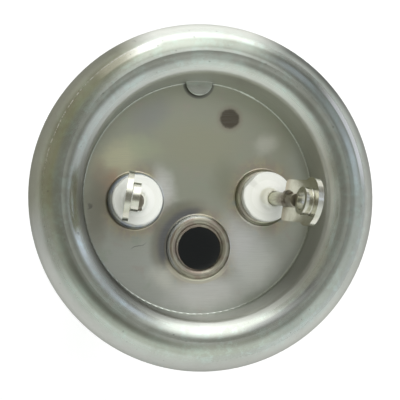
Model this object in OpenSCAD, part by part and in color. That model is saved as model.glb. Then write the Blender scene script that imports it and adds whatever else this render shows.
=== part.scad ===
// Flange-mounted immersion heater for a storage water heater.
// A pressed steel flange carries a hairpin heating tube, a sensor pocket
// and a stud for the anode. The terminals stand up on the dry side (+Z),
// and the tube and the pocket hang down into the water (-Z).
// The origin is on the flange's axis, in the plane of its seating lip.

/* [Flange] */
// Outer diameter of the pressed flange
flange_d = 64; // [60:0.5:70]
// Diameter of the recess at the foot of its wall
recess_d = 44.2; // [43:0.2:45]
// Slope of the recess wall, in degrees from the axis
draft_angle = 2; // [1:0.5:4]
// Diameter of the circle along the crest of the rim
crest_d = 52.4; // [51.8:0.2:54]
// Angle over which the crest rolls inwards before its shoulder
crest_angle = 45; // [38:1:52]
// Radius of the shoulder between the crest's roll and the recess wall
shoulder_r = 1.6; // [1.5:0.1:2.2]
// Thickness of the pressed sheet
sheet_t = 1.2; // [0.8:0.1:1.4]
// Height of the crest above the recessed face
rim_h = 11.5; // [10:0.5:13]
// Straight lip below the outer roll of the rim
lip_h = 2.7; // [2:0.1:4]
// Inside radius of the bend at the foot of the recess wall
bend_r = 0.3; // [0.2:0.1:0.8]

/* [Index boss] */
// Diameter of the half-pierced index boss, which runs into the wall
boss_d = 5.2; // [4.4:0.2:6]
// Height of the index boss
boss_h = 1.2; // [0.6:0.1:1.6]
// Distance of the boss's centre from the flange's axis
boss_y = 22; // [21.4:0.2:22.6]
// Edge rounding of the index boss
boss_round = 0.25; // [0.1:0.05:0.4]

/* [Drawn collars] */
// Height of the three collars above the recessed face
collar_h = 1.3; // [1:0.1:2.4]
// Wall of the collars
collar_t = 1; // [0.8:0.05:1.4]
// Fillet round the foot of each collar
collar_fillet = 0.4; // [0.3:0.1:1.1]
// Radius at the wet mouth of each collar
mouth_r = 0.8; // [0.4:0.1:1.1]

/* [Heating tube] */
// Outer diameter of the heating tube
tube_d = 8.5; // [8:0.1:9]
// Wall of the heating tube
tube_wall = 0.6; // [0.5:0.05:0.8]
// Distance between the two legs
tube_pitch = 24.4; // [23:0.2:26]
// Distance from the flange's axis to the line between the legs
pair_y = 0.2; // [0:0.1:0.8]
// Turn of the pair of legs about the flange's axis, in degrees
pair_angle = 1.5; // [-3:0.5:3]
// Straight length of each leg below the recessed face
leg_len = 268; // [200:5:400]
// Unheated length of each leg below the recessed face
cold_len = 45; // [30:5:80]
// Length of the terminal pin inside the heating coil
pin_grip = 12; // [8:1:20]
// Wire diameter of the heating coil
wire_d = 0.5; // [0.3:0.05:0.7]
// Thickness of the seal under each ceramic bush
seal_h = 5; // [3:0.5:8]

/* [Sensor pocket] */
// Outer diameter of the sensor pocket
pocket_d = 10; // [9:0.2:11]
// Wall of the sensor pocket
pocket_wall = 0.8; // [0.6:0.05:1]
// Straight length of the pocket below the recessed face
pocket_len = 240; // [100:5:260]
// Place of the pocket across the flange
pocket_x = -0.3; // [-1:0.1:1]
// Place of the pocket along the flange
pocket_y = -9.3; // [-10.4:0.1:-9.1]

/* [Anode stud] */
// Diameter of the anode stud
stud_d = 4; // [4:1:5]
// Length of the stud below its foot
stud_len = 10; // [8:1:16]
// Diameter of the stud's welded foot
stud_foot_d = 6; // [5.6:0.2:7]
// Thickness of the stud's welded foot
stud_foot_t = 0.8; // [0.5:0.1:1.2]
// Place of the stud across the flange
stud_x = 6; // [4:0.2:7]
// Place of the stud along the flange
stud_y = 15.2; // [14:0.2:16]

/* [Ceramic bushes] */
// Diameter of the bush's head
bush_d = 9.4; // [9:0.1:10]
// Height of the cylindrical head
bush_h = 1.8; // [1.4:0.1:2.6]
// Height from the collar's lip to the underside of the head
bush_rise = 2.2; // [1.8:0.1:3.2]
// Length of the plug inside the tube, below the recessed face
plug_len = 4; // [3:0.5:6]
// Diameter of the bush's nose at its foot
nose_d = 6.2; // [5.6:0.2:6.6]
// Diameter of the bush's nose at its tip
nose_tip_d = 3.6; // [3.5:0.1:4.4]
// Height of the bush's nose
nose_h = 1.4; // [0.8:0.1:2]
// Edge rounding of the head
bush_round = 0.4; // [0.2:0.1:0.6]

/* [Terminals] */
// Diameter of the terminal pin
pin_d = 2.5; // [2.2:0.1:2.8]
// Height above the recessed face at which the pins start to lean
pin_bend_z = 0.9; // [0.4:0.1:1.4]
// Swelling of the pin round its bend
pin_swell = 0.08; // [0.04:0.02:0.2]
// Tilt of the left terminal, in degrees
tilt_left = 5.5; // [1:0.5:9]
// Tilt of the right terminal, in degrees
tilt_right = 10; // [1:0.5:11]
// Direction in which the left terminal tilts, in degrees from +X
heading_left = 208; // [180:1:240]
// Direction in which the right terminal tilts, in degrees from +X
heading_right = -24; // [-45:1:30]
// Turn of both tabs about their pins, in degrees
tab_turn = -10.1; // [-15:0.1:15]
// Distance of the left tab's middle from its pin, across the tab
tab_shift_left = 0.8; // [-1:0.1:1]
// Distance of the right tab's middle from its pin, across the tab
tab_shift_right = 0; // [-1:0.1:1]
// Width of the terminal tab
tab_w = 7.6; // [6.4:0.2:8]
// Thickness of the terminal tab
tab_t = 1; // [0.8:0.1:1.2]
// Diameter of the tab's round head
tab_head_d = 8.6; // [8.2:0.2:9.4]
// Height of the screw hole above the tab's foot
tab_hole_h = 11; // [9:0.5:14]
// Height of the tab's foot above the bush
tab_foot_gap = 2.1; // [0.6:0.1:3]
// Corner radius at the tab's foot
tab_corner = 0.9; // [0.3:0.1:1.5]
// Tapping diameter of the screw hole
screw_hole_d = 3.3; // [3:0.1:3.6]
// Outer diameter of the collar drawn round the screw hole
neck_d = 4.9; // [4.6:0.1:5.4]
// Height of the collar drawn round the screw hole
neck_h = 1.4; // [0.8:0.1:1.6]
// Depth to which the pin is welded into the tab
weld_sink = 0.25; // [0.1:0.05:0.4]

/* [Clearances] */
// Gap between pieces that touch each other
fit_gap = 0.02; // [0.01:0.01:0.05]
// Gap between a bush's plug and its tube
plug_gap = 0.15; // [0.05:0.05:0.25]
// Gap between a pin and its bush
pin_gap = 0.06; // [0.04:0.02:0.15]
// Gap between the pin's end and the collar of the screw hole
pin_end_gap = 0.2; // [0.1:0.1:1]
// Height of the weld beads on the collars
bead_h = 0.8; // [0.3:0.05:0.8]

/* [Hidden] */
$fn = 96;

left = -1;
right = 1;

// How far a cut runs past the solid that it cuts
cut_past = 1;

// Radii of the flange's profile
flange_r = flange_d / 2;
recess_r = recess_d / 2;
crest_r = crest_d / 2;
outer_roll = flange_r - crest_r;
bend_x = recess_r - bend_r;
// Radius of the crest's inward roll, by which the wall meets the shoulder
// and the bend at its foot without a kink
inner_roll = (cos(draft_angle) * (crest_r - bend_x)
              - sin(draft_angle) * (rim_h - bend_r) - bend_r
              - (1 - sin(crest_angle + draft_angle)) * shoulder_r)
    / (sin(crest_angle + draft_angle) - sin(draft_angle));

// Level of the recessed face, which lies below the seating plane
face_z = lip_h + outer_roll - rim_h;

// Index boss and the hollow behind it
boss_r = boss_d / 2;
boss_wall = sheet_t / 2;

// Radii and levels of the heating tube, from the recessed face
tube_r = tube_d / 2;
bore_r = tube_r - tube_wall;
pin_r = pin_d / 2;
coil_in_r = pin_r + fit_gap;
coil_out_r = coil_in_r + wire_d;
fill_r = bore_r - fit_gap;
seal_top = -plug_len - fit_gap;
fill_top = seal_top - seal_h - fit_gap;
pin_low = -cold_len - pin_grip;

// Holes and collars in the flange
tube_hole_r = tube_r + fit_gap;
pocket_r = pocket_d / 2;
pocket_hole_r = pocket_r + fit_gap;
pocket_bore_r = pocket_r - pocket_wall;

// Levels of the bushes, from the recessed face
head_low = collar_h + bush_rise;
head_top = head_low + bush_h;

// Distances along the leaning pin, from its bend
nose_foot_w = head_low + bush_h / 4 - pin_bend_z;
nose_tip_w = head_top + nose_h - pin_bend_z;
tab_foot_w = nose_tip_w + tab_foot_gap;
screw_w = tab_foot_w + tab_hole_h;
neck_fillet = 0.2;
pin_top_gap = 0.05;
pin_end_w = screw_w - neck_d / 2 - neck_fillet - pin_end_gap;
pin_chamfer = 0.1;
stud_chamfer = 0.4;

// Inner face of the tab, from the pin's axis
tab_u = pin_r - weld_sink;

// Puts its children at the recessed face
module on_face() {
    translate([0, 0, face_z]) children();
}

// Puts its children in the frame of the pair of legs
module on_pair() {
    translate([0, -pair_y, 0]) rotate([0, 0, pair_angle]) children();
}

// Puts its children over one leg of the heating tube
module over_leg(side) {
    on_face() on_pair() translate([side * tube_pitch / 2, 0, 0]) children();
}

function tilt_of(side) = side < 0 ? tilt_left : tilt_right;
function heading_of(side) = side < 0 ? heading_left : heading_right;
function outward_of(side) = side < 0 ? 180 + tab_turn : tab_turn;
function shift_of(side) = side < 0 ? -tab_shift_left : tab_shift_right;

// Frame of a tilted terminal: +Z along the pin, +X outward
module lean_frame(side) {
    translate([0, 0, pin_bend_z])
        rotate([0, 0, heading_of(side)])
            rotate([0, tilt_of(side), 0])
                rotate([0, 0, outward_of(side) - heading_of(side)])
                    children();
}

// Sector of the sheet rolled to radius r on its outer side
module rolled_sheet(r, sector) {
    intersection() {
        difference() {
            circle(r = r);
            circle(r = r - sheet_t);
        }
        polygon(sector);
    }
}

// Half section of the pressed flange, with y = 0 at the recessed face
module flange_profile() {
    slope = tan(draft_angle);
    facing = [-cos(draft_angle), sin(draft_angle)];
    bend = [bend_x, bend_r];
    inward = [-sin(crest_angle), cos(crest_angle)];
    crest = [crest_r, rim_h - inner_roll];
    shoulder = (inner_roll - shoulder_r) * inward;
    foot = bend - crest - shoulder;
    outer_top = rim_h - outer_roll;
    reach = 2 * outer_roll;
    // Recessed face
    translate([0, -sheet_t]) square([bend_x, sheet_t]);
    // Bend at the foot of the wall
    translate(bend) rolled_sheet(bend_r + sheet_t,
        [[0, 0], [0, -reach], [reach, -reach], [reach, -reach * slope]]);
    // Inward roll of the crest, its shoulder and the wall of the recess
    translate(crest) {
        rolled_sheet(inner_roll, [[0, 0], [0, reach], reach * inward]);
        translate(shoulder) {
            rolled_sheet(shoulder_r, [[0, 0], reach * inward, reach * facing]);
            polygon([foot - bend_r * facing, shoulder_r * facing,
                     (shoulder_r - sheet_t) * facing,
                     foot - (bend_r + sheet_t) * facing]);
        }
    }
    // Outward roll
    translate([crest_r, outer_top]) rolled_sheet(outer_roll,
        [[0, 0], [reach, 0], [reach, reach], [0, reach]]);
    // Seating lip
    translate([flange_r - sheet_t, outer_top - lip_h])
        square([sheet_t, lip_h]);
}

// Collar drawn up from the recessed face round a hole
module drawn_collar(hole_r) {
    rotate_extrude() {
        translate([hole_r, -sheet_t]) square([collar_t, collar_h + sheet_t]);
        difference() {
            translate([hole_r, -sheet_t])
                square([collar_t + collar_fillet, sheet_t + collar_fillet]);
            translate([hole_r + collar_t + collar_fillet, collar_fillet])
                circle(r = collar_fillet);
        }
    }
}

// Hole through a drawn collar, with its rounded wet mouth
module collar_hole(hole_r) {
    translate([0, 0, -sheet_t - cut_past])
        cylinder(r = hole_r, h = sheet_t + collar_h + 2 * cut_past);
    rotate_extrude() difference() {
        translate([0, -sheet_t - cut_past])
            square([hole_r + mouth_r, cut_past + mouth_r]);
        translate([hole_r + mouth_r, -sheet_t + mouth_r])
            circle(r = mouth_r);
    }
}

// Places its children at the three openings of the flange
module at_tubes() {
    for (side = [left, right])
        on_pair() translate([side * tube_pitch / 2, 0, 0]) children();
}

module at_pocket() {
    translate([pocket_x, pocket_y, 0]) children();
}

// Flat boss, half pierced through the sheet, that ends in the wall
module index_boss() {
    boss_low = -sheet_t / 2;
    boss_len = boss_h - boss_low;
    intersection() {
        translate([0, boss_y, boss_low]) rotate_extrude() {
            square([boss_r, boss_len - boss_round]);
            square([boss_r - boss_round, boss_len]);
            translate([boss_r - boss_round, boss_len - boss_round])
                circle(r = boss_round);
        }
        translate([0, 0, boss_low])
            cylinder(r = recess_r + boss_wall, h = boss_len);
    }
}

// Hollow behind the index boss, on the wet side
module index_hollow() {
    hollow_low = -sheet_t - cut_past;
    hollow_len = boss_h + cut_past;
    intersection() {
        translate([0, boss_y, hollow_low])
            cylinder(r = boss_r - boss_wall, h = hollow_len);
        translate([0, 0, hollow_low])
            cylinder(r = recess_r - boss_wall, h = hollow_len);
    }
}

module flange() {
    color([0.66, 0.66, 0.62]) on_face() difference() {
        union() {
            rotate_extrude() flange_profile();
            at_tubes() drawn_collar(tube_hole_r);
            at_pocket() drawn_collar(pocket_hole_r);
            index_boss();
        }
        at_tubes() collar_hole(tube_hole_r);
        at_pocket() collar_hole(pocket_hole_r);
        index_hollow();
    }
}

// Solid hairpin of radius r whose legs end at level top
module hairpin(r, top) {
    on_pair() {
        for (side = [left, right])
            translate([side * tube_pitch / 2, 0, -leg_len])
                cylinder(r = r, h = leg_len + top);
        translate([0, 0, -leg_len]) rotate([-90, 0, 0])
            rotate_extrude(angle = 180)
                translate([tube_pitch / 2, 0]) circle(r = r);
    }
}

module sheath() {
    color([0.6, 0.6, 0.58]) on_face() difference() {
        hairpin(tube_r, collar_h);
        hairpin(bore_r, collar_h + cut_past);
    }
}

module oxide_outer() {
    color([0.86, 0.85, 0.8]) on_face() difference() {
        hairpin(fill_r, fill_top);
        hairpin(coil_out_r + fit_gap, -cold_len + fit_gap);
        at_tubes() translate([0, 0, -cold_len - cut_past])
            cylinder(r = pin_r + fit_gap, h = cold_len + 2 * cut_past);
    }
}

module oxide_core() {
    color([0.86, 0.85, 0.8]) on_face()
        hairpin(coil_in_r - fit_gap, pin_low - fit_gap);
}

// The close-wound coil, as a sleeve of its inner and outer diameter
module heating_coil() {
    color([0.45, 0.42, 0.4]) on_face() difference() {
        hairpin(coil_out_r, -cold_len);
        hairpin(coil_in_r, -cold_len + cut_past);
    }
}

// Straight pin below its bend, of radius r
module pin_below(r, low) {
    translate([0, 0, low]) cylinder(r = r, h = pin_bend_z - low);
}

// Bend and tilted length of a pin of radius r
module pin_above(side, r, end_w) {
    translate([0, 0, pin_bend_z]) sphere(r = r + pin_swell);
    lean_frame(side) cylinder(r = r, h = end_w);
}

module pin(side) {
    color([0.5, 0.5, 0.46]) over_leg(side) {
        pin_below(pin_r, pin_low);
        pin_above(side, pin_r, pin_end_w - pin_chamfer);
        lean_frame(side) translate([0, 0, pin_end_w - pin_chamfer])
            cylinder(r1 = pin_r, r2 = pin_r - pin_chamfer, h = pin_chamfer);
    }
}

module seal(side) {
    color([0.75, 0.35, 0.25]) over_leg(side) difference() {
        translate([0, 0, seal_top - seal_h]) cylinder(r = fill_r, h = seal_h);
        pin_below(pin_r + fit_gap, seal_top - seal_h - cut_past);
    }
}

// Ceramic bush: plug, widening neck, round-edged head and leaning nose
module bush(side) {
    head_r = bush_d / 2;
    plug_r = bore_r - plug_gap;
    neck_low = collar_h + bead_h + plug_gap;
    hole_r = pin_r + pin_gap;
    color([0.95, 0.94, 0.89]) over_leg(side) difference() {
        union() {
            translate([0, 0, -plug_len])
                cylinder(r = plug_r, h = plug_len + neck_low);
            translate([0, 0, neck_low])
                cylinder(r1 = plug_r, r2 = head_r, h = head_low - neck_low);
            translate([0, 0, head_low]) rotate_extrude() {
                square([head_r, bush_h - bush_round]);
                square([head_r - bush_round, bush_h]);
                translate([head_r - bush_round, bush_h - bush_round])
                    circle(r = bush_round);
            }
            lean_frame(side) translate([0, 0, nose_foot_w])
                cylinder(d1 = nose_d, d2 = nose_tip_d,
                         h = nose_tip_w - nose_foot_w);
        }
        pin_below(hole_r, -plug_len - cut_past);
        pin_above(side, hole_r, nose_tip_w + 2 * cut_past);
    }
}

// Flat outline of a terminal tab, with its foot on the x axis
module tab_outline() {
    translate([-tab_w / 2, tab_corner])
        square([tab_w, tab_hole_h - tab_corner]);
    translate([-tab_w / 2 + tab_corner, 0])
        square([tab_w - 2 * tab_corner, tab_hole_h]);
    for (edge = [left, right])
        translate([edge * (tab_w / 2 - tab_corner), tab_corner])
            circle(r = tab_corner);
    translate([0, tab_hole_h]) circle(d = tab_head_d);
}

// Collar drawn round the screw hole, from the tab's face at y = 0
module screw_neck() {
    neck_r = neck_d / 2;
    rotate_extrude() {
        translate([0, -tab_t / 2]) square([neck_r, neck_h + tab_t / 2]);
        difference() {
            translate([0, -tab_t / 2])
                square([neck_r + neck_fillet, neck_fillet + tab_t / 2]);
            translate([neck_r + neck_fillet, neck_fillet])
                circle(r = neck_fillet);
        }
    }
}

module tab(side) {
    tab_v = shift_of(side);
    color([0.72, 0.7, 0.62]) over_leg(side) lean_frame(side) difference() {
        union() {
            translate([tab_u, tab_v, tab_foot_w]) rotate([90, 0, 90])
                linear_extrude(height = tab_t) tab_outline();
            translate([tab_u, tab_v, screw_w]) rotate([0, -90, 0])
                screw_neck();
        }
        // Screw hole
        translate([tab_u - neck_h - cut_past, tab_v, screw_w])
            rotate([0, 90, 0])
                cylinder(d = screw_hole_d, h = neck_h + tab_t + 2 * cut_past);
        // Seat of the welded pin
        translate([0, 0, tab_foot_w - cut_past])
            cylinder(r = pin_r + fit_gap,
                     h = pin_end_w - tab_foot_w + pin_top_gap + cut_past);
    }
}

module sensor_pocket() {
    color([0.62, 0.6, 0.52]) on_face() at_pocket() difference() {
        union() {
            translate([0, 0, -pocket_len])
                cylinder(r = pocket_r, h = pocket_len + collar_h);
            translate([0, 0, -pocket_len]) sphere(r = pocket_r);
        }
        translate([0, 0, -pocket_len])
            cylinder(r = pocket_bore_r, h = pocket_len + collar_h + cut_past);
        translate([0, 0, -pocket_len]) sphere(r = pocket_bore_r);
    }
}

module anode_stud() {
    foot_z = -sheet_t - fit_gap - stud_foot_t;
    color([0.6, 0.6, 0.58]) on_face() translate([stud_x, stud_y, foot_z]) {
        cylinder(d = stud_foot_d, h = stud_foot_t);
        translate([0, 0, -stud_len + stud_chamfer])
            cylinder(d = stud_d, h = stud_len - stud_chamfer);
        translate([0, 0, -stud_len])
            cylinder(d1 = stud_d - 2 * stud_chamfer, d2 = stud_d,
                     h = stud_chamfer);
    }
}

// Rounded weld bead between an inner and an outer radius
module weld_bead(in_r, out_r) {
    half = (out_r - in_r) / 2;
    arc_r = (half * half + bead_h * bead_h) / (2 * bead_h);
    color([0.68, 0.64, 0.52]) on_face() translate([0, 0, collar_h + fit_gap])
        rotate_extrude() intersection() {
            translate([in_r + half, bead_h - arc_r]) circle(r = arc_r);
            translate([in_r, 0]) square([2 * half, bead_h]);
        }
}

module weld_tube(side) {
    on_pair() translate([side * tube_pitch / 2, 0, 0])
        weld_bead(bore_r + fit_gap, tube_hole_r + collar_t);
}

module weld_pocket() {
    at_pocket()
        weld_bead(pocket_bore_r + fit_gap, pocket_hole_r + collar_t);
}

flange();
sheath();
oxide_outer();
oxide_core();
heating_coil();
pin(left);  // pin_left
pin(right);  // pin_right
seal(left);  // seal_left
seal(right);  // seal_right
bush(left);  // bush_left
bush(right);  // bush_right
tab(left);  // tab_left
tab(right);  // tab_right
sensor_pocket();
anode_stud();
weld_tube(left);  // weld_left
weld_tube(right);  // weld_right
weld_pocket();
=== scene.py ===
import math

import bpy
from mathutils import Matrix, Vector


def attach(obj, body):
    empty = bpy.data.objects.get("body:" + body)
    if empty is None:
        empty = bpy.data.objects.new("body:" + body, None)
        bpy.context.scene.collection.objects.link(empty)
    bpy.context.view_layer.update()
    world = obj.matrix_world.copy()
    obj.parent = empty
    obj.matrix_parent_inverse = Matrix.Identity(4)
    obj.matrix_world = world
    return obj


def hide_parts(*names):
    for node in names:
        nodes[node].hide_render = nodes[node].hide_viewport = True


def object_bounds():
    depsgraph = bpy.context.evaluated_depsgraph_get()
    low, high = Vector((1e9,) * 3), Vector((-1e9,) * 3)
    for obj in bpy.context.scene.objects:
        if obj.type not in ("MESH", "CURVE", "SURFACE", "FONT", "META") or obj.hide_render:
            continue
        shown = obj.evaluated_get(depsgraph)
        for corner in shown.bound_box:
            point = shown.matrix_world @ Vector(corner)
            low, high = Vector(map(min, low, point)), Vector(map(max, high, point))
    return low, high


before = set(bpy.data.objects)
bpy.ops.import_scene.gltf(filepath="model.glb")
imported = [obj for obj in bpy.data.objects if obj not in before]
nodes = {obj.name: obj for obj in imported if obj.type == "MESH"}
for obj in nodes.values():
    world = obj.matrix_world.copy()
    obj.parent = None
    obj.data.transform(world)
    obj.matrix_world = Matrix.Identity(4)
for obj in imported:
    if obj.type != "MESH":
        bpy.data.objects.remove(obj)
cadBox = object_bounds()
print("frame loaded:", len(nodes), "nodes")

# Where things stand in the frame, in mm
plan = {
    "face": -3.0,  # level of the recessed face
    "left": (-12.2, -0.52),
    "right": (12.2, 0.12),
    "pocket": (-0.3, -9.3),
    "stud": (6.0, 15.2),
}


# Shader maths: an expression on wired values adds its own Math nodes
class Wire:
    def __init__(self, tree, socket):
        self.tree = tree
        self.socket = socket

    def math(self, operation, *others):
        values = dict(enumerate((self,) + others))
        return addNode(self.tree, "ShaderNodeMath", values, operation=operation)

    def __add__(self, other):
        return self.math("ADD", other)

    def __sub__(self, other):
        return self.math("SUBTRACT", other)

    def __mul__(self, other):
        return self.math("MULTIPLY", other)

    def __truediv__(self, other):
        return self.math("DIVIDE", other)

    def __pow__(self, other):
        return self.math("POWER", other)

    def __rsub__(self, other):
        return self * -1 + other

    __radd__ = __add__
    __rmul__ = __mul__

    def low(self, other):
        return self.math("MINIMUM", other)

    def high(self, other):
        return self.math("MAXIMUM", other)

    def size(self):
        return self.math("ABSOLUTE")

    # Smooth rise from 0 at start to 1 at end; it falls if end is the lower
    def step(self, start, end):
        rise = addNode(self.tree, "ShaderNodeMapRange",
                       {"Value": self, "From Min": min(start, end),
                        "From Max": max(start, end)},
                       interpolation_type="SMOOTHSTEP")
        return rise if start < end else 1 - rise

    # 1 within half a width of the middle, fading out over soft
    def band(self, middle, half, soft):
        return (self - middle).size().step(half + soft, half)


# One node: settings first, then the values or links of its sockets
def addNode(tree, kind, sockets, out=0, stops=(), **settings):
    node = tree.nodes.new(kind)
    for name, value in settings.items():
        setattr(node, name, value)
    if stops:
        elements = node.color_ramp.elements
        while len(elements) < len(stops):
            elements.new(0.5)
        for element, (place, colour) in zip(elements, stops):
            element.position = place
            element.color = colour
    for name, value in sockets.items():
        if isinstance(value, Wire):
            tree.links.new(value.socket, node.inputs[name])
        else:
            node.inputs[name].default_value = value
    return Wire(tree, node.outputs[out])


def rgb(red, green, blue):
    return (red, green, blue, 1)


# The sides of a material that the recipes below use
class Paint:
    def __init__(self, name, **fixed):
        self.material = bpy.data.materials.new(name)
        self.material.use_nodes = True
        self.tree = self.material.node_tree
        self.shader = self.tree.nodes["Principled BSDF"]
        for socket, value in fixed.items():
            self.shader.inputs[socket.replace("_", " ")].default_value = value
        place = addNode(self.tree, "ShaderNodeTexCoord", {}, out="Object")
        self.place = self.vector("SCALE", place, Scale=1000)  # in mm
        self.x, self.y, self.z = self.apart(self.place)
        self.r = (self.x * self.x + self.y * self.y) ** 0.5

    def apart(self, vector):
        parts = addNode(self.tree, "ShaderNodeSeparateXYZ", {0: vector})
        return [Wire(self.tree, one) for one in parts.socket.node.outputs]

    def vector(self, operation, first, second=None, **named):
        sockets = {0: first, **named}
        if second is not None:
            sockets[1] = second
        return addNode(self.tree, "ShaderNodeVectorMath", sockets,
                       operation=operation)

    def combine(self, x, y, z):
        return addNode(self.tree, "ShaderNodeCombineXYZ", {0: x, 1: y, 2: z})

    def noise(self, scale, detail=3, roughness=0.5, warp=0, place=None,
              stretch=(1, 1, 1), shift=(0, 0, 0), out=0):
        place = self.vector("MULTIPLY_ADD", place or self.place, stretch)
        place.socket.node.inputs[2].default_value = shift
        return addNode(self.tree, "ShaderNodeTexNoise",
                       {"Vector": place, "Scale": scale, "Detail": detail,
                        "Roughness": roughness, "Distortion": warp}, out=out)

    # The place, wandering by up to reach mm, for stains and painted shade with uneven
    # edges
    def wander(self, reach, scale):
        stray = self.noise(scale, 3, 0.55, out="Color")
        stray = self.vector("SUBTRACT", stray, (0.5, 0.5, 0.5))
        stray = self.vector("SCALE", stray, Scale=2 * reach)
        return self.vector("ADD", self.place, stray)

    # Distance in mm from a point of the flat, or of a tube's axis
    def away(self, point):
        dx, dy = self.x - point[0], self.y - point[1]
        return (dx * dx + dy * dy) ** 0.5

    # An oval mark for stains and for painted light and shade, 1 inside and 0
    # outside, at the place that x and y give
    def ovalMask(self, x, y, middle, half, turn, soft):
        dx, dy = x - middle[0], y - middle[1]
        along = math.cos(math.radians(turn))
        aside = math.sin(math.radians(turn))
        u = (dx * along + dy * aside) / half[0]
        v = (dy * along - dx * aside) / half[1]
        return ((u * u + v * v) ** 0.5).step(1 + soft, 1 - soft)

    def mix(self, factor, first, second, how="MIX"):
        return addNode(self.tree, "ShaderNodeMix",
                       {0: factor, 6: first, 7: second}, out=2,
                       data_type="RGBA", blend_type=how)

    def bump(self, height, distance, strength=1.0, normal=None):
        sockets = {"Height": height, "Distance": distance,
                   "Strength": strength}
        if normal is not None:
            sockets["Normal"] = normal
        return addNode(self.tree, "ShaderNodeBump", sockets)

    def feed(self, **wires):
        for socket, wire in wires.items():
            self.tree.links.new(
                wire.socket, self.shader.inputs[socket.replace("_", " ")])

    def wear(self, *names):
        for name in names:
            nodes[name].material_slots[0].material = self.material


# Camera: over the left of the flange, looking at its middle
cameraSet = {
    "place": (-31.04, -7.79, 197.0),
    "aim": (0.18, -0.33, -3.0),
    "roll": 0.004,
    "lens": 96.1,
}


def makeCamera(values):
    data = bpy.data.cameras.new("camera")
    data.lens = values["lens"]
    data.clip_start = 0.005
    data.clip_end = 40
    camera = bpy.data.objects.new("camera", data)
    bpy.context.scene.collection.objects.link(camera)
    place = Vector(values["place"]) / 1000
    ahead = (Vector(values["aim"]) / 1000 - place).normalized()
    up = Vector((math.sin(values["roll"]), math.cos(values["roll"]), 0))
    right = ahead.cross(up).normalized()
    turn = Matrix((right, right.cross(ahead), -ahead)).transposed()
    camera.matrix_world = Matrix.Translation(place) @ turn.to_4x4()
    bpy.context.scene.camera = camera


makeCamera(cameraSet)
print("camera placed")


# Room: what the steel mirrors. A window at the picture's top, pale walls to
# the right and below, a dim olive one to the left and a dim ceiling
roomSet = {
    "walls": (  # bearing from +X in degrees, then the light from there
        (0, 0.60, 0.63, 0.66),
        (28, 0.52, 0.54, 0.56),
        (42, 0.27, 0.27, 0.26),
        (62, 0.32, 0.32, 0.30),
        (118, 0.40, 0.40, 0.36),
        (135, 0.38, 0.37, 0.31),
        (180, 0.31, 0.30, 0.25),
        (205, 0.45, 0.46, 0.42),
        (225, 0.75, 0.80, 0.76),
        (270, 0.90, 0.94, 0.90),
        (315, 0.78, 0.82, 0.83),
        (350, 0.64, 0.67, 0.70),
    ),
    "window": rgb(1.95, 2.00, 1.97),
    "streak": rgb(0.95, 1.05, 1.28),
    "ceilingTop": rgb(0.24, 0.24, 0.215),
    "ceilingLow": rgb(0.62, 0.63, 0.60),
}


# 1 for the rays that see the white background
def seenRays(tree):
    path = addNode(tree, "ShaderNodeLightPath", {}).socket.node
    rays = [Wire(tree, path.outputs[name]) for name in
            ("Is Camera Ray", "Is Glossy Ray", "Is Transmission Ray")]
    return (rays[0] + rays[1] + rays[2]).low(1)


def makeRoom(values):
    world = bpy.data.worlds.new("room")
    bpy.context.scene.world = world
    world.use_nodes = True
    tree = world.node_tree
    tree.nodes.clear()
    way = addNode(tree, "ShaderNodeTexCoord", {}, out="Generated")
    parts = addNode(tree, "ShaderNodeSeparateXYZ", {0: way}).socket.node
    x, y, z = (Wire(tree, one) for one in parts.outputs)
    bearing = (y.math("ARCTAN2", x) / (2 * math.pi)).math("FRACT")

    def over(factor, first, second):
        return addNode(tree, "ShaderNodeMix", {0: factor, 6: first, 7: second},
                       out=2, data_type="RGBA")

    stops = [(wall[0] / 360, rgb(*wall[1:])) for wall in values["walls"]]
    stops.append((1, stops[0][1]))
    light = addNode(tree, "ShaderNodeValToRGB", {0: bearing}, stops=stops)
    panes = bearing.step(0.010, 0.035) * bearing.step(0.066, 0.060)
    for middle, half, strength in ((0.088, 0.004, 0.20), (0.128, 0.016, 0.60)):
        panes = panes + bearing.band(middle, half, 0.006) * strength
    low = y.step(0.12, -0.12) * x.band(0.16, 0.05, 0.10)
    ceiling = over(low, values["ceilingTop"], values["ceilingLow"])
    light = over(z.step(0.74, 0.95), light, ceiling)
    light = over(panes * z.band(0.68, 0.09, 0.08), light, values["streak"])
    across = (x - 0.11) / (y.high(0) * 0.40 + 0.06)
    window = across.band(0, 0.68, 0.45) * y.step(0.02, 0.62)
    light = over(window, light, values["window"])
    horizon = z.step(0.10, 0.03) * seenRays(tree)
    light = over(horizon, light, rgb(1, 1, 1))
    glow = addNode(tree, "ShaderNodeBackground", {"Color": light})
    end = tree.nodes.new("ShaderNodeOutputWorld")
    tree.links.new(glow.socket, end.inputs["Surface"])


# One soft lamp overhead, which steel doesn't mirror
lampSet = {
    "softLamp": {"place": (0.10, 0.22, 0.86), "size": 0.7, "power": 3.2,
                 "tint": (1.0, 0.995, 0.98)},
}


def makeLamps(lamps):
    for name, values in lamps.items():
        data = bpy.data.lights.new(name, "AREA")
        data.shape = "DISK"
        data.size = values["size"]
        data.energy = values["power"]
        data.color = values["tint"]
        lamp = bpy.data.objects.new(name, data)
        bpy.context.scene.collection.objects.link(lamp)
        lamp.location = values["place"]
        aim = Vector((0, 0, 0)) - lamp.location
        lamp.rotation_euler = aim.to_track_quat("-Z", "Y").to_euler()
        lamp.visible_glossy = False


floorSet = {"half": 12.0, "below": 0.0005, "pale": 0.80, "glow": 0.42}


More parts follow.
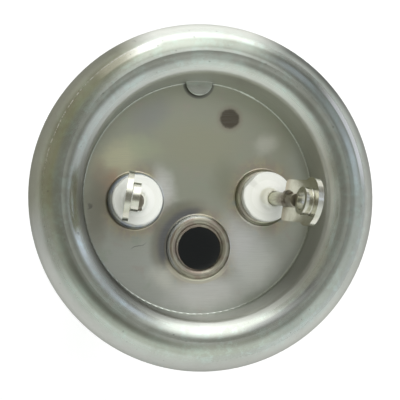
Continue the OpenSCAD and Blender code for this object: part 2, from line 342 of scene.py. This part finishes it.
def makeFloor(values):
    low = cadBox[0].z - values["below"]
    bpy.ops.object.select_all(action="DESELECT")
    bpy.ops.mesh.primitive_plane_add(size=2 * values["half"],
                                     location=(0, 0, low))
    floor = bpy.context.object
    floor.name = "floor"
    material = bpy.data.materials.new("paleFloor")
    material.use_nodes = True
    tree = material.node_tree
    shader = tree.nodes["Principled BSDF"]
    shader.inputs["Base Color"].default_value = (values["pale"],) * 3 + (1,)
    shader.inputs["Roughness"].default_value = 0.9
    shader.inputs["Specular IOR Level"].default_value = 0.1
    shader.inputs["Emission Color"].default_value = rgb(1, 1, 1)
    glow = seenRays(tree) * values["glow"]
    tree.links.new(glow.socket, shader.inputs["Emission Strength"])
    floor.data.materials.append(material)


makeRoom(roomSet)
makeLamps(lampSet)
makeFloor(floorSet)
bpy.context.scene.view_settings.view_transform = "Standard"
print("room, lamp and floor ready")


# Pressed stainless sheet: satin on the recessed face, brighter on the rolled
# rim, with the heat tints that welding left round the tubes. Its colour also
# holds painted light and shade: ramps by bearing on the rim and wall, and
# painted highlights, reflections and shade on the face
flangeSet = {
    "olive": rgb(0.535, 0.55, 0.45),
    # pale: the face's lower part, lighter as painted reflection
    "pale": rgb(0.64, 0.665, 0.62),
    "rose": rgb(0.60, 0.52, 0.48),
    "green": rgb(0.49, 0.58, 0.45),
    "rim": rgb(0.61, 0.64, 0.595),
    "rimDull": rgb(0.51, 0.53, 0.48),
    "bloom": rgb(0.62, 0.74, 0.69),
    "wall": (  # bearing in degrees, then how bright the recess wall is painted: painted light and shade
        (0, 0.86), (40, 0.84), (80, 0.84), (140, 0.80), (168, 0.50),
        (185, 0.34), (225, 0.21), (246, 0.38), (268, 0.78), (290, 0.64),
        (315, 0.44), (340, 0.66),
    ),
    "flatRoughness": 0.34,
    "rimRoughness": 0.20,
    "wallRoughness": 0.50,
    "edgeRoughness": 0.16,  # added towards the outermost ring
    "edge": (  # bearing in degrees, then how bright the outermost ring is painted: painted light and shade
        (0, 0.38), (28, 0.24), (42, 0.05), (60, 0.12), (74, 1.00),
        (108, 1.00), (122, 0.22), (180, 0.20), (205, 0.46), (228, 0.50),
        (268, 0.46), (315, 0.62), (350, 0.40),
    ),
    "crest": (  # bearing in degrees, then the painted shade on the crest's outer side
        (0, 0.85), (10, 0.75), (25, 0.58), (45, 0.60), (65, 0.50), (80, 0.52),
        (95, 0.66), (120, 0.72), (138, 0.97), (195, 1.00), (210, 0.64), (225, 0.66),
        (245, 0.80), (260, 0.84), (272, 1.00), (290, 1.00), (302, 0.74),
        (318, 1.00),
    ),
    "glintsAndShade": (  # painted highlights, the last a painted shade: turn round the rim, distance out, strength, brightness
        ((0.066, 0.028, 0.038), (28.90, 0.25, 0.30), 1.0, 1.0),
        ((0.335, 0.022, 0.020), (28.90, 0.45, 0.50), 0.8, 1.0),
        ((0.845, 0.035, 0.030), (25.10, 0.30, 0.50), 0.7, 0.3),
    ),
    "paintedLeftShade": rgb(0.86, 0.83, 0.65),  # painted olive shade on the rim's left
    "weldSpot": rgb(0.115, 0.095, 0.07),
    "weldSpotHalo": rgb(0.42, 0.34, 0.28),
    # creamHighlight: painted highlight at the collar's foot below the pocket
    "creamHighlight": rgb(0.98, 0.94, 0.78),
    "shade": rgb(0.19, 0.195, 0.22),  # beside the pocket's collar
    # outerShade: painted shade further out round the pocket's collar
    "outerShade": rgb(0.33, 0.31, 0.23),
    "heat": (  # tints that the welds' heat left, round each tube
        (0.30, rgb(0.44, 0.48, 0.52)), (0.45, rgb(0.68, 0.58, 0.37)),
        (0.55, rgb(0.55, 0.41, 0.34)), (0.70, rgb(0.47, 0.54, 0.36)),
    ),
    "stainsAndPaintedLight": (  # stains and painted light: middle, half widths, turn, softness, colour, strength
        ((-15.4, 7.4), (4.0, 2.8), 25, 0.7, rgb(0.84, 0.82, 0.58), 0.85),
        ((-9.3, 15.6), (3.6, 2.2), 35, 0.8, rgb(0.42, 0.43, 0.45), 0.55),
        ((-16.8, 3.4), (1.2, 2.2), -30, 0.7, rgb(0.66, 0.46, 0.33), 0.70),
        ((-18.5, 3.6), (1.5, 3.6), 8, 0.7, rgb(0.53, 0.45, 0.35), 0.75),
        ((-10.6, 9.4), (3.4, 1.8), -15, 0.8, rgb(0.66, 0.72, 0.50), 0.60),
        ((-19.6, -2.5), (1.8, 5.5), 0, 0.7, rgb(0.36, 0.35, 0.29), 0.85),
        # painted reflection of the left ceramic bush in the face
        ((-6.7, 1.8), (1.7, 3.4), 8, 0.8, rgb(1.0, 1.0, 0.97), 1.0),
        # painted shade beside the pocket's collar
        ((-7.2, -7.6), (1.5, 3.4), -8, 0.8, rgb(0.20, 0.21, 0.25), 0.60),
        ((-4.2, -2.6), (2.4, 1.2), 28, 0.8, rgb(0.30, 0.31, 0.26), 0.75),
        ((4.9, 3.4), (2.0, 3.4), 0, 0.9, rgb(0.42, 0.43, 0.32), 0.80),
        ((-0.1, 10.0), (7.4, 4.2), 0, 0.6, rgb(0.55, 0.54, 0.37), 0.45),
        ((13.1, 10.4), (2.0, 1.5), 20, 0.9, rgb(0.86, 0.86, 0.77), 0.75),
        ((20.0, 5.6), (2.2, 7.0), 0, 0.8, rgb(0.66, 0.70, 0.66), 0.60),
        # painted reflection: these three lighten the face's lower part
        ((8.4, -8.6), (3.6, 4.6), 20, 0.8, rgb(1.0, 1.0, 1.0), 0.90),
        ((11.0, -13.2), (4.0, 3.0), 40, 0.8, rgb(0.98, 1.0, 0.96), 0.90),
        ((0.8, -17.8), (6.2, 2.9), 4, 0.6, rgb(1.0, 1.0, 0.97), 1.0),
        ((12.0, -18.6), (4.6, 1.2), 24, 0.7, rgb(0.43, 0.46, 0.40), 0.60),
        # painted reflection on the face's lower part
        ((-6.7, -15.4), (2.6, 1.7), -35, 0.8, rgb(0.98, 0.98, 0.90), 0.80),
        ((-11.6, -9.0), (1.1, 0.10), 24, 0.6, rgb(0.19, 0.20, 0.19), 0.80),
        ((-20.8, -1.6), (0.5, 0.3), 70, 0.6, rgb(0.14, 0.14, 0.13), 0.70),
    ),
}


def paintFlange(values):
    paint = Paint("pressedSteel", Metallic=1.0,
                  Specular_Tint=rgb(0.50, 0.50, 0.49))
    flat = paint.z.band(plan["face"], 0.3, 0.3) * paint.r.step(22.3, 21.6)
    wall = paint.r.step(24.0, 22.9) * paint.r.step(21.95, 22.1) * (1 - flat)
    cloud = paint.noise(0.11, 4, 0.55)
    patch = paint.noise(0.32, 4, 0.6, shift=(7, 3, 0))
    fine = paint.noise(2.2, 3, 0.6)
    grain = paint.noise(2.6, 2, 0.6, stretch=(0.10, 2.6, 1))
    length = paint.r.high(0.5)
    round_ = paint.noise(
        1.0, 4, 0.65,
        place=paint.combine(paint.x / length * 7, paint.y / length * 7,
                            (paint.r + paint.z * 0.9) * 3.4))
    streak = flat * grain + (1 - flat) * round_

    wanderX, wanderY, _ = paint.apart(paint.wander(1.1, 0.35))
    # Face colour: olive at the top, paler towards the bottom as painted reflection
    face = paint.mix((paint.y + cloud * 10 - 5).step(4, -14),
                     values["olive"], values["pale"])
    face = paint.mix(patch.step(0.56, 0.72) * 0.4, face, values["rose"])
    face = paint.mix(patch.step(0.44, 0.28) * 0.4, face, values["green"])
    near = paint.away(plan["left"]).low(paint.away(plan["right"]))
    near = near.low(paint.away(plan["pocket"]) - 0.7) + (cloud - 0.5) * 3
    tint = addNode(paint.tree, "ShaderNodeValToRGB", {0: patch},
                   stops=values["heat"])
    face = paint.mix(near.step(8.4, 5.4) * 0.62, face, tint)
    # Stains, and painted reflections and shade
    for middle, half, turn, soft, colour, strength in values["stainsAndPaintedLight"]:
        mask = paint.ovalMask(wanderX, wanderY, middle, half, turn, soft)
        face = paint.mix(mask * strength, face, colour)
    collar = paint.away(plan["pocket"])
    boss = ((paint.x * paint.x + (paint.y - 22) * (paint.y - 22)) ** 0.5)
    # Painted shade on the boss: darker inside, and a dark ring round its foot
    face = paint.mix(boss.step(2.4, 2.0) * 0.5, face, rgb(0.42, 0.38, 0.35))
    face = paint.mix(boss.band(2.6, 0.3, 0.3) * 0.85, face,
                     rgb(0.24, 0.24, 0.22))
    # How far a place lies on the pocket's shaded side
    middleX, middleY = plan["pocket"]
    side = (wanderY - middleY) * 0.55 - (wanderX - middleX) * 0.84
    side = (side / collar).step(0.30, 0.75)
    # Painted shade round the collar on its shaded side, olive-brown further out
    face = paint.mix(collar.band(7.3, 0.9, 1.6) * side * 0.55, face,
                     values["outerShade"])
    around = collar.step(6.15, 6.5) * collar.step(8.2, 6.9) * side
    face = paint.mix(around * 0.85, face, values["shade"])
    # Painted highlight along the collar's edge on its shaded side
    face = paint.mix(collar.step(6.25, 6.1) * side, face, rgb(1, 1, 1))
    # Painted highlight along the collar's foot below the pocket
    foot = collar.band(6.5, 0.25, 0.35) * wanderY.step(-12.4, -14.2)
    face = paint.mix(foot * 0.8, face, values["creamHighlight"])
    spot = paint.away(plan["stud"]) + (fine - 0.5) * 0.5
    face = paint.mix(spot.step(3.0, 1.9) * 0.5, face, values["weldSpotHalo"])
    face = paint.mix(spot.step(2.15, 1.55) * 0.95, face, values["weldSpot"])

    rim = paint.mix(cloud.step(0.35, 0.65), values["rim"], values["rimDull"])
    mottle = paint.noise(0.8, 4, 0.7, shift=(3, 0, 6))
    rim = paint.mix((patch * 0.5 + mottle * 0.5).step(0.46, 0.62) * 0.5, rim,
                    values["bloom"])
    bearing = (paint.y.math("ARCTAN2", paint.x) / (2 * math.pi)).math("FRACT")
    # Bearing ramps of painted light and shade: outermost ring, recess wall, crest
    paintedLightTones = []
    for key in ("edge", "wall", "crest"):
        stops = [(place / 360, rgb(tone, tone * 1.01, tone * 0.95))
                 for place, tone in values[key]]
        stops.append((1, stops[0][1]))
        paintedLightTones.append(addNode(paint.tree, "ShaderNodeValToRGB", {0: bearing},
                             stops=stops))
    # Painted shade on the crest's outer side, by bearing
    crest = paint.r.step(26.4, 27.0) * paint.r.step(29.0, 28.3)
    rim = paint.mix(crest, rim, paintedLightTones[2], "MULTIPLY")
    # Painted light and shade on the outermost ring, by bearing
    edge = (paint.r + (cloud - 0.5) * 0.6).step(28.9, 31.1)
    rim = paint.mix(edge * paint.z.step(2.4, 3.4) * 0.9, rim, paintedLightTones[0])
    # Painted highlights round the rim; the last row paints a shade
    for around, out, soft, shine in values["glintsAndShade"]:
        glint = bearing.band(*around) * paint.r.band(*out)
        rim = paint.mix(glint * soft, rim, rgb(shine, shine, shine))
    # Painted olive shade on the rim's left
    side = bearing.band(0.42, 0.075, 0.04) * paint.r.step(27.2, 28.4)
    rim = paint.mix(side * 0.8, rim, values["paintedLeftShade"], "MULTIPLY")
    # A painted highlight line on the rim's upper left
    hairHighlight = (paint.r + (cloud - 0.5) * 0.35).band(29.5, 0.03, 0.09)
    hairHighlight = hairHighlight * bearing.band(0.385, 0.055, 0.05) * paint.z.step(3.4, 4.4)
    hairHighlight = hairHighlight * fine.step(0.42, 0.60)
    rim = paint.mix(hairHighlight, rim, rgb(1, 1, 0.97))
    speck = paint.noise(1.5, 1, 0.4, shift=(0, 5, 9)).step(0.74, 0.80)
    rim = paint.mix(speck * 0.6, rim, rgb(0.20, 0.20, 0.19))
    # Painted light and shade on the recess wall, by bearing
    rim = paint.mix(wall, rim, paintedLightTones[1])
    colour = paint.mix(flat, rim, face)
    colour = paint.mix((streak - 0.5) * 0.35 + 0.12, colour,
                       rgb(0.46, 0.46, 0.43))
    paint.feed(Base_Color=colour)
    rough = flat * (values["flatRoughness"] - values["rimRoughness"])
    rough = rough + wall * (values["wallRoughness"] - values["rimRoughness"])
    rough = rough + paint.r.step(28.6, 30.6) * values["edgeRoughness"]
    rough = rough + values["rimRoughness"] + (streak - 0.5) * 0.12
    rough = rough + (fine - 0.5) * 0.06
    paint.feed(Roughness=rough.high(0.1))
    height = streak * 0.6 + fine * 0.4
    paint.feed(Normal=paint.bump(height, 0.00001, 0.4))
    paint.wear("flange")


paintFlange(flangeSet)
print("flange painted")


# Drawn tubes, with a brownish tint below the welds and a faint painted glow
# inside the pocket
tubeSet = {
    "steel": rgb(0.58, 0.58, 0.55),
    "dull": rgb(0.44, 0.43, 0.40),
    "straw": rgb(0.50, 0.43, 0.30),
    "inside": rgb(0.16, 0.16, 0.15),
    "pocketGlow": rgb(0.011, 0.012, 0.012),  # a faint painted glow inside the pocket
}


def paintTubes(values):
    for name, place, bore in (("drawnTube", None, 0),
                              ("pocketTube", plan["pocket"], 4.2)):
        paint = Paint(name, Metallic=1.0)
        drawn = paint.noise(1.0, 4, 0.6, stretch=(5, 5, 0.10))
        cloud = paint.noise(0.12, 3, 0.55)
        colour = paint.mix(drawn.step(0.3, 0.75), values["steel"],
                           values["dull"])
        heat = (paint.z + cloud * 6).step(-16, -5)
        colour = paint.mix(heat * 0.6, colour, values["straw"])
        rough = drawn * 0.22 + 0.20
        if place:
            inside = paint.away(place).step(bore + 0.015, bore + 0.005)
            colour = paint.mix(inside, colour, values["inside"])
            rough = rough + inside * 0.25
            # Painted glow: a faint emission inside the pocket's bore
            paint.shader.inputs["Emission Strength"].default_value = 1
            paint.feed(Emission_Color=paint.mix(inside, rgb(0, 0, 0),
                                                values["pocketGlow"]))
            paint.wear("sensor_pocket")
        else:
            paint.wear("sheath")
        paint.feed(Base_Color=colour, Roughness=rough,
                   Normal=paint.bump(drawn, 0.00002, 0.3))


paintTubes(tubeSet)

# Weld beads: smooth domes, each with the tint that its heat left and a painted
# highlight along the crest
weldSet = {
    "weld_left": {"middle": plan["left"], "crest": 4.47,
                  "steel": rgb(0.70, 0.71, 0.67),
                  "tint": rgb(0.52, 0.55, 0.62),
                  "line": rgb(0.78, 0.79, 0.75)},
    "weld_right": {"middle": plan["right"], "crest": 4.47,
                   "steel": rgb(0.60, 0.60, 0.47),
                   "tint": rgb(0.46, 0.42, 0.36),
                   "line": rgb(0.70, 0.70, 0.60)},
    "weld_pocket": {"middle": plan["pocket"], "crest": 5.12,
                    "steel": rgb(0.44, 0.42, 0.34),
                    "tint": rgb(0.36, 0.30, 0.25),
                    "line": rgb(0.66, 0.63, 0.52),
                    "beadFootHighlight": rgb(1, 1, 1)},
}


def paintWelds(welds):
    paints = {}
    for name, values in welds.items():
        paint = Paint(name.replace("_", ""), Metallic=1.0)
        reach = paint.away(values["middle"])
        pool = paint.noise(0.5, 3, 0.5)
        ripple = paint.noise(1.6, 3, 0.55)
        colour = paint.mix(pool.step(0.38, 0.62), values["steel"],
                           values["tint"])
        # Painted highlight along the bead's crest
        line = reach.band(values["crest"], 0.05, 0.12)
        colour = paint.mix(line * 0.6, colour, values["line"])
        if "beadFootHighlight" in values:  # the bead's foot: a painted highlight on one side
            x, y = values["middle"]
            side = (paint.y - y) * 0.55 - (paint.x - x) * 0.84
            side = (side / reach).step(-0.1, 0.6) * reach.step(5.5, 5.75)
            colour = paint.mix(side, colour, values["beadFootHighlight"])
        paint.feed(Base_Color=colour, Roughness=ripple * 0.20 + 0.30,
                   Normal=paint.bump(ripple, 0.00004, 0.35))
        paint.wear(name)
        paints[name] = paint
    return paints


weldPaints = paintWelds(weldSet)

# A new piece, its place in its mesh, with its finish and what it stands for
def settle(piece, name, slot, paint, *stands):
    piece.name = name
    alone(piece)
    bpy.ops.object.transform_apply(location=True, rotation=True, scale=True)
    bpy.ops.object.shade_smooth_by_angle(angle=math.radians(40))
    piece.data.materials.clear()
    piece.data.materials.append(paint.material)
    if stands:
        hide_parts(*stands)
    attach(piece, "root")


def alone(piece):
    bpy.ops.object.select_all(action="DESELECT")
    piece.select_set(True)
    bpy.context.view_layer.objects.active = piece


def edit(piece, mode):
    alone(piece)
    bpy.ops.object.mode_set(mode="EDIT")
    bpy.ops.mesh.select_mode(type=mode)
    bpy.ops.mesh.select_all(action="DESELECT")
    bpy.ops.object.mode_set(mode="OBJECT")


# Lip: the weld's run that narrows the pocket's mouth
lipSet = {"major": 4.36, "minor": 0.42, "place": (-0.20, -9.50, -1.76)}


def makeLip(values):
    bpy.ops.object.select_all(action="DESELECT")
    bpy.ops.mesh.primitive_torus_add(
        major_segments=120, minor_segments=24,
        major_radius=values["major"] / 1000,
        minor_radius=values["minor"] / 1000,
        location=Vector(values["place"]) / 1000)
    lip = bpy.context.object
    bpy.ops.object.mode_set(mode="EDIT")
    bpy.ops.mesh.select_all(action="SELECT")
    bpy.ops.transform.vertex_random(offset=0.00006, seed=3)
    bpy.ops.mesh.vertices_smooth(factor=0.5, repeat=4)
    bpy.ops.object.mode_set(mode="OBJECT")
    settle(lip, "mouthLip", "weld_steel", weldPaints["weld_pocket"])


makeLip(lipSet)

# Ceramic: unglazed, ivory, a little yellow-green towards the pin
ceramicSet = {
    "white": rgb(0.89, 0.895, 0.85),
    "ivory": rgb(0.85, 0.85, 0.76),
    "soil": rgb(0.66, 0.64, 0.52),
    # paintedNoseLight: painted light on the nose's slope
    "paintedNoseLight": rgb(0.97, 0.97, 0.93),
}


def paintCeramic(values):
    paint = Paint("ivoryCeramic")
    grit = paint.noise(3.0, 4, 0.6)
    cloud = paint.noise(0.3, 3, 0.5)
    near = paint.away(plan["left"]).low(paint.away(plan["right"]))
    turned = (near * 9 + cloud * 3).math("SINE") * 0.5 + 0.5
    inner = near.step(4.2, 1.2) * 0.8 + cloud * 0.5 - 0.2
    colour = paint.mix(inner.high(0), values["white"], values["ivory"])
    soil = near.step(1.75, 1.35) * cloud.step(0.35, 0.65)
    colour = paint.mix(soil * 0.5, colour, values["soil"])
    height = grit * 0.5 + turned * 0.5
    nose = near.band(2.4, 0.6, 0.25)  # the nose's slope, painted whiter: painted light over its shading
    colour = paint.mix(nose * 0.7, colour, values["paintedNoseLight"])
    paint.feed(Base_Color=colour, Roughness=grit * 0.25 + 0.40,
               Normal=paint.bump(height, 0.00002, 0.4))
    return paint


ceramicPaint = paintCeramic(ceramicSet)

# Bushes: the turned ceramic with the chips that its head has lost
bushSet = {
    "bush_left": {"middle": plan["left"], "chips": (
        (135, 4.44, 12), (22, 4.62, 20))},  # bearing, distance, tilt
    "bush_right": {"middle": plan["right"], "chips": (
        (137, 4.30, 10), (212, 4.50, 14), (196, 4.60, 25))},
}


def makeBushes(bushes):
    for name, values in bushes.items():
        piece = nodes[name].copy()
        piece.data = nodes[name].data.copy()
        bpy.context.scene.collection.objects.link(piece)
        alone(piece)
        bpy.ops.object.mode_set(mode="EDIT")
        bpy.ops.mesh.select_all(action="SELECT")
        bpy.ops.mesh.remove_doubles(threshold=0.000001)
        for bearing, distance, tilt in values["chips"]:
            turn, lean = math.radians(bearing), math.radians(tilt)
            out = Vector((math.cos(turn), math.sin(turn), 0))
            top = Vector((values["middle"][0], values["middle"][1], 2.0))
            bpy.ops.mesh.select_all(action="SELECT")
            bpy.ops.mesh.bisect(
                plane_co=(top + out * distance) / 1000,
                plane_no=out * math.cos(lean) + Vector((0, 0, math.sin(lean))),
                use_fill=True, clear_outer=True, threshold=0.0000001)
        bpy.ops.object.mode_set(mode="OBJECT")
        settle(piece, name.replace("bush", "chippedBush"), "bush_ceramic",
               ceramicPaint, name)


makeBushes(bushSet)
print("bushes chipped")

# Tabs: bright plating over steel, browned where the pin is welded on
tabSet = {
    "plate": rgb(0.70, 0.69, 0.61),
    "dull": rgb(0.58, 0.565, 0.47),
    "brown": rgb(0.36, 0.28, 0.19),
}


def paintTabs(values):
    paint = Paint("platedTab", Metallic=1.0)
    cloud = paint.noise(0.5, 4, 0.6)
    grit = paint.noise(4.0, 3, 0.6)
    colour = paint.mix(cloud.step(0.4, 0.7), values["plate"], values["dull"])
    foot = (paint.z + cloud * 2).step(9.4, 7.2)
    colour = paint.mix(foot * 0.6, colour, values["brown"])
    paint.feed(Base_Color=colour, Roughness=cloud * 0.12 + grit * 0.08 + 0.10,
               Normal=paint.bump(grit, 0.00001, 0.3))
    paint.wear("tab_left", "tab_right")


paintTabs(tabSet)

# Pins: plain steel, dark and purplish where they are welded to the tabs
pinSet = {
    "steel": rgb(0.64, 0.64, 0.52),
    "dull": rgb(0.52, 0.52, 0.42),
    "burnt": rgb(0.34, 0.30, 0.25),
}


def paintPins(values):
    paint = Paint("terminalPin", Metallic=1.0)
    drawn = paint.noise(1.0, 4, 0.6, stretch=(4, 4, 0.4))
    colour = paint.mix(drawn.step(0.3, 0.75), values["steel"], values["dull"])
    heat = (paint.z + drawn * 1.6).step(7.0, 9.6)
    colour = paint.mix(heat * 0.8, colour, values["burnt"])
    paint.feed(Base_Color=colour, Roughness=drawn * 0.2 + 0.24,
               Normal=paint.bump(drawn, 0.00002, 0.3))
    paint.wear("pin_left", "pin_right")
    return paint


pinPaint = paintPins(pinSet)

# Weld lumps: burnt metal that holds each pin to the inner face of its tab
lumpSet = {
    "base": rgb(0.30, 0.25, 0.21),
    "ash": rgb(0.50, 0.46, 0.39),
    "glint": rgb(0.62, 0.58, 0.52),
    "size": (1.15, 1.40, 2.6),  # half sizes: across, along the tab, up
    "middle": (-0.30, 0.0, 12.5),
    "pinFoot": -2.1,
    "legTurn": 1.5,
    "terminals": {  # place, tilt, heading, out and seed
        "left": (plan["left"], 5.5, 208, 169.9, 4),
        "right": (plan["right"], 10, -24, -10.1, 11),
    },
}


def makeLumps(values):
    paint = Paint("burntWeld", Metallic=1.0)
    crust = paint.noise(1.6, 4, 0.65)
    grit = paint.noise(6.0, 3, 0.6)
    colour = paint.mix(crust.step(0.40, 0.62), values["base"], values["ash"])
    colour = paint.mix(grit.step(0.66, 0.74) * 0.8, colour, values["glint"])
    paint.feed(Base_Color=colour, Roughness=crust * 0.3 + 0.22,
               Normal=paint.bump(crust * 0.7 + grit * 0.3, 0.00012, 0.6))
    for side, (place, tilt, heading, out, seed) in values["terminals"].items():
        bpy.ops.object.select_all(action="DESELECT")
        bpy.ops.mesh.primitive_ico_sphere_add(subdivisions=4, radius=0.001)
        piece = bpy.context.object
        bpy.ops.object.mode_set(mode="EDIT")
        bpy.ops.mesh.select_all(action="SELECT")
        bpy.ops.transform.vertex_random(offset=0.00022, seed=seed)
        bpy.ops.mesh.vertices_smooth(factor=0.5, repeat=3)
        bpy.ops.mesh.select_all(action="DESELECT")
        bpy.ops.object.mode_set(mode="OBJECT")
        for point in piece.data.vertices:  # the drip that stands up beside
            point.select = point.co.y > 0.00075
        bpy.ops.object.mode_set(mode="EDIT")
        bpy.ops.transform.translate(value=(-0.0002, 0.00022, 0.00025))
        bpy.ops.mesh.select_all(action="SELECT")
        bpy.ops.transform.resize(value=values["size"])
        bpy.ops.transform.translate(value=Vector(values["middle"]) / 1000)
        bpy.ops.object.mode_set(mode="OBJECT")
        turns = [math.radians(one) for one in
                 (heading + values["legTurn"], tilt, out - heading)]
        lean = (Matrix.Rotation(turns[0], 4, "Z")
                @ Matrix.Rotation(turns[1], 4, "Y")
                @ Matrix.Rotation(turns[2], 4, "Z"))
        foot = Vector((*place, values["pinFoot"])) / 1000
        piece.matrix_world = Matrix.Translation(foot) @ lean
        settle(piece, "weldLump" + side.capitalize(), "weld_steel", paint)


makeLumps(lumpSet)

# Threaded stud under the flange: rolled thread on a round welded foot
studSet = {
    "middle": plan["stud"],
    "crest": 2.0, "root": 1.6, "pitch": 0.7,
    "top": -5.02, "length": 10.0, "chamfer": 0.5,
    "foot": 3.0, "footHeight": 0.8,
    "steel": rgb(0.62, 0.62, 0.59),
    "dull": rgb(0.48, 0.48, 0.45),
    "tint": rgb(0.46, 0.38, 0.26),
}


def makeStud(values):
    pitch, top = values["pitch"], values["top"]
    low = top - values["length"]
    depth = values["crest"] - values["root"]
    middle = (values["crest"] + values["root"]) / 2
    bpy.ops.object.select_all(action="DESELECT")
    bpy.ops.mesh.primitive_plane_add(size=0.001, rotation=(math.pi / 2, 0, 0))
    stud = bpy.context.object
    bpy.ops.object.transform_apply(location=True, rotation=True, scale=True)
    edit(stud, "EDGE")
    for line in stud.data.edges:  # the side towards the axis
        line.select = all(stud.data.vertices[one].co.x < 0
                          for one in line.vertices)
    bpy.ops.object.mode_set(mode="EDIT")
    bpy.ops.mesh.delete(type="EDGE")
    bpy.ops.mesh.select_all(action="SELECT")
    bpy.ops.transform.resize(value=(depth, 1, pitch))
    bpy.ops.transform.translate(
        value=(middle / 1000, 0, (low - 2 * pitch) / 1000))
    bpy.ops.mesh.select_mode(type="VERT")
    bpy.ops.mesh.select_all(action="DESELECT")
    bpy.ops.object.mode_set(mode="OBJECT")
    for point in stud.data.vertices:  # the narrow crest
        point.select = point.co.x > middle / 1000
    bpy.ops.object.mode_set(mode="EDIT")
    bpy.ops.transform.resize(value=(1, 1, 0.15))
    bpy.ops.object.mode_set(mode="OBJECT")
    screw = stud.modifiers.new("thread", "SCREW")
    screw.screw_offset = pitch / 1000
    screw.iterations = round(values["length"] / pitch) + 5
    screw.steps = screw.render_steps = 40
    screw.use_merge_vertices = True
    screw.merge_threshold = 0.000002
    alone(stud)
    bpy.ops.object.modifier_apply(modifier="thread")
    bpy.ops.object.mode_set(mode="EDIT")
    for height, way in ((top, 1), (low, -1)):
        bpy.ops.mesh.select_all(action="SELECT")
        bpy.ops.mesh.bisect(plane_co=(0, 0, height / 1000),
                            plane_no=(0, 0, way), use_fill=True,
                            clear_outer=True, threshold=0.0000001)
    bpy.ops.mesh.select_all(action="SELECT")
    bpy.ops.mesh.remove_doubles(threshold=0.000002)
    bpy.ops.mesh.normals_make_consistent(inside=False)
    bpy.ops.mesh.select_all(action="DESELECT")
    bpy.ops.object.mode_set(mode="OBJECT")
    for point in stud.data.vertices:  # the lead at the free end
        point.select = point.co.z < (low + values["chamfer"]) / 1000
    bpy.ops.object.mode_set(mode="EDIT")
    bpy.ops.transform.resize(value=(0.84, 0.84, 1))
    bpy.ops.object.mode_set(mode="OBJECT")
    bpy.ops.object.select_all(action="DESELECT")
    bpy.ops.mesh.primitive_cylinder_add(
        vertices=64, radius=values["foot"] / 1000,
        depth=values["footHeight"] / 1000,
        location=(0, 0, (top + values["footHeight"] / 2) / 1000))
    foot = bpy.context.object
    edit(foot, "EDGE")
    for line in foot.data.edges:  # the round edge that faces down
        line.select = all(foot.data.vertices[one].co.z < 0
                          for one in line.vertices)
    bpy.ops.object.mode_set(mode="EDIT")
    bpy.ops.mesh.bevel(offset=0.00015, segments=3, affect="EDGES")
    bpy.ops.object.mode_set(mode="OBJECT")
    stud.select_set(True)
    bpy.context.view_layer.objects.active = stud
    bpy.ops.object.join()
    stud.location = Vector((*values["middle"], 0)) / 1000

    paint = Paint("rolledThread", Metallic=1.0)
    rolled = paint.noise(3.0, 3, 0.6, stretch=(1, 1, 6))
    colour = paint.mix(rolled.step(0.35, 0.7), values["steel"], values["dull"])
    heat = (paint.z + rolled).step(-7.0, -5.0)
    colour = paint.mix(heat * 0.6, colour, values["tint"])
    paint.feed(Base_Color=colour, Roughness=rolled * 0.2 + 0.22,
               Normal=paint.bump(rolled, 0.00001, 0.3))
    settle(stud, "threadedStud", "stud_steel", paint, "anode_stud")


makeStud(studSet)
print("weld lumps and stud made")

# Pieces inside the tube: packed powder, wound wire and rubber seals
insideSet = {
    "packedPowder": {"nodes": ("oxide_outer", "oxide_core"), "metal": 0.0,
                     "base": rgb(0.86, 0.85, 0.80),
                     "dark": rgb(0.74, 0.72, 0.66), "rough": 0.75,
                     "scale": 3.0, "stretch": (1, 1, 1)},
    "woundWire": {"nodes": ("heating_coil",), "metal": 1.0,
                  "base": rgb(0.42, 0.40, 0.38),
                  "dark": rgb(0.20, 0.19, 0.18), "rough": 0.35,
                  "scale": 1.0, "stretch": (0.2, 0.2, 9)},
    "siliconeSeal": {"nodes": ("seal_left", "seal_right"), "metal": 0.0,
                     "base": rgb(0.62, 0.28, 0.20),
                     "dark": rgb(0.48, 0.20, 0.15), "rough": 0.5,
                     "scale": 2.0, "stretch": (1, 1, 1)},
}


def paintInside(kinds):
    for name, values in kinds.items():
        paint = Paint(name, Metallic=values["metal"])
        grit = paint.noise(values["scale"], 4, 0.6, stretch=values["stretch"])
        paint.feed(Base_Color=paint.mix(grit.step(0.35, 0.65), values["base"],
                                        values["dark"]),
                   Roughness=grit * 0.2 + (values["rough"] - 0.1),
                   Normal=paint.bump(grit, 0.00003, 0.4))
        paint.wear(*values["nodes"])


paintInside(insideSet)
print("finishes set")
